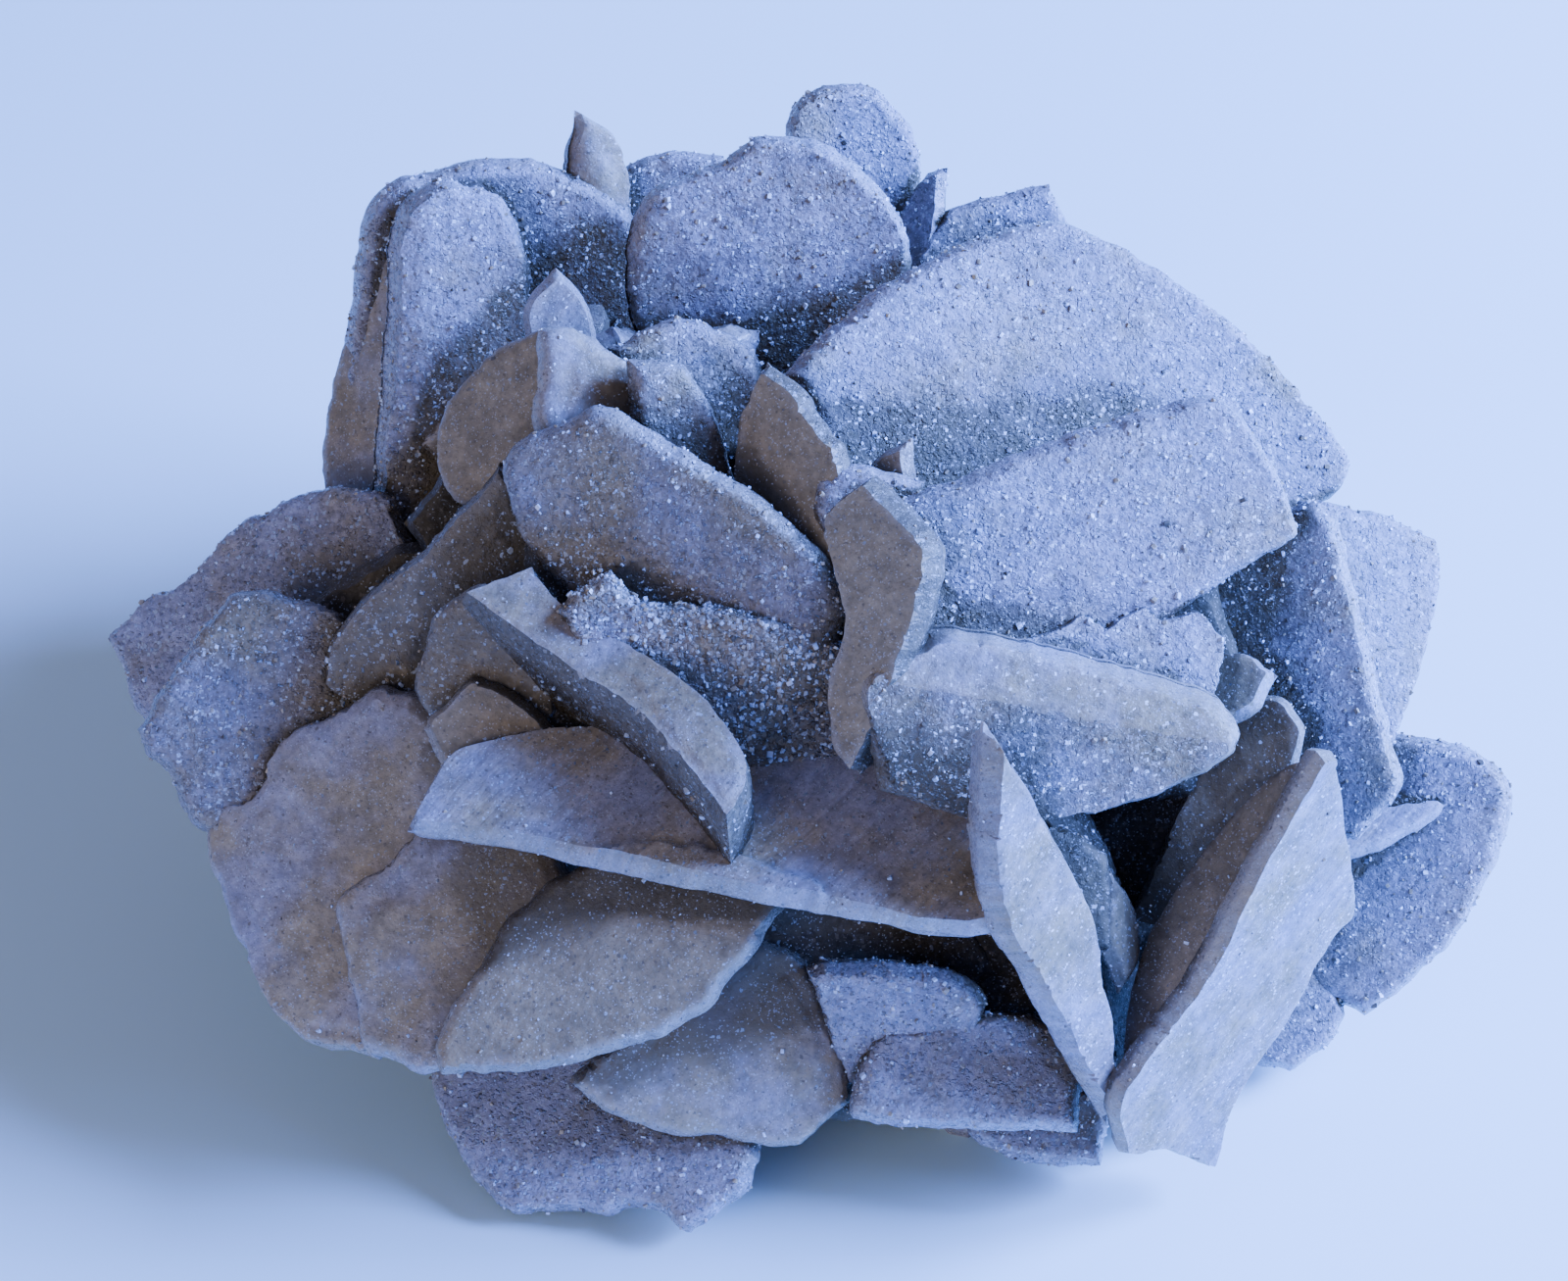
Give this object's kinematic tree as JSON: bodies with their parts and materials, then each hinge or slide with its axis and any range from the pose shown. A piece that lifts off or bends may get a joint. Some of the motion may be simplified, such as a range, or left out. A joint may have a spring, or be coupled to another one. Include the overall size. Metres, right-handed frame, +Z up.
{
  "type": "desert rose crystal cluster",
  "caption": "Natural desert rose: flat lens-shaped gypsum blades coated in sand, grown through each other in a low dome that rests on a flat base.",
  "frame": {"origin": "centre of the footprint of the cluster's box, on the plane of the flat base", "axes": "+Z up from the flat base, +X along the cluster's width, -Y towards the front, where the long ledge is"},
  "size_m": [0.1399, 0.1161, 0.0769],
  "materials": {
    "sandy_gypsum": "dull, sandy"
  },
  "bodies": {
    "root": {"desert_rose": "sandy_gypsum"}
  },
  "joints": []
}
